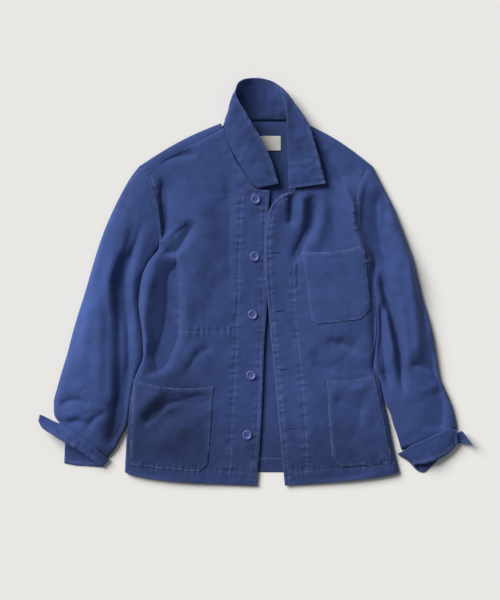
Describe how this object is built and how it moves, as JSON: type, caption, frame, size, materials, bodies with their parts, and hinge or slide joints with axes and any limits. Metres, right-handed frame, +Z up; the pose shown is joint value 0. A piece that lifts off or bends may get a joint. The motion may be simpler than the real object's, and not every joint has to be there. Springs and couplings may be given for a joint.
{
  "type": "chore jacket",
  "caption": "Cotton twill chore jacket lying flat and open, with collar, three patch pockets, unbuttoned cuffs and four-hole buttons down one front.",
  "frame": {"origin": "centre of the footprint, on the surface that the jacket lies on", "axes": "+X across the jacket towards the wearer's left, +Y from the hem to the collar, +Z up from the surface"},
  "size_m": [0.8867, 0.8321, 0.0506],
  "materials": {
    "cloth": "garment-dyed cotton twill",
    "label": "plain woven tape",
    "button": "satin"
  },
  "bodies": {
    "root": {"back": "cloth", "front_right": "cloth", "front_left": "cloth", "sleeve_right": "cloth", "sleeve_left": "cloth", "cuff_right": "cloth", "cuff_left": "cloth", "collar": "cloth", "chest_pocket": "cloth", "hip_pocket_right": "cloth", "hip_pocket_left": "cloth", "label": "label", "button_1": "button", "button_2": "button", "button_3": "button", "button_4": "button", "button_5": "button"}
  },
  "joints": []
}
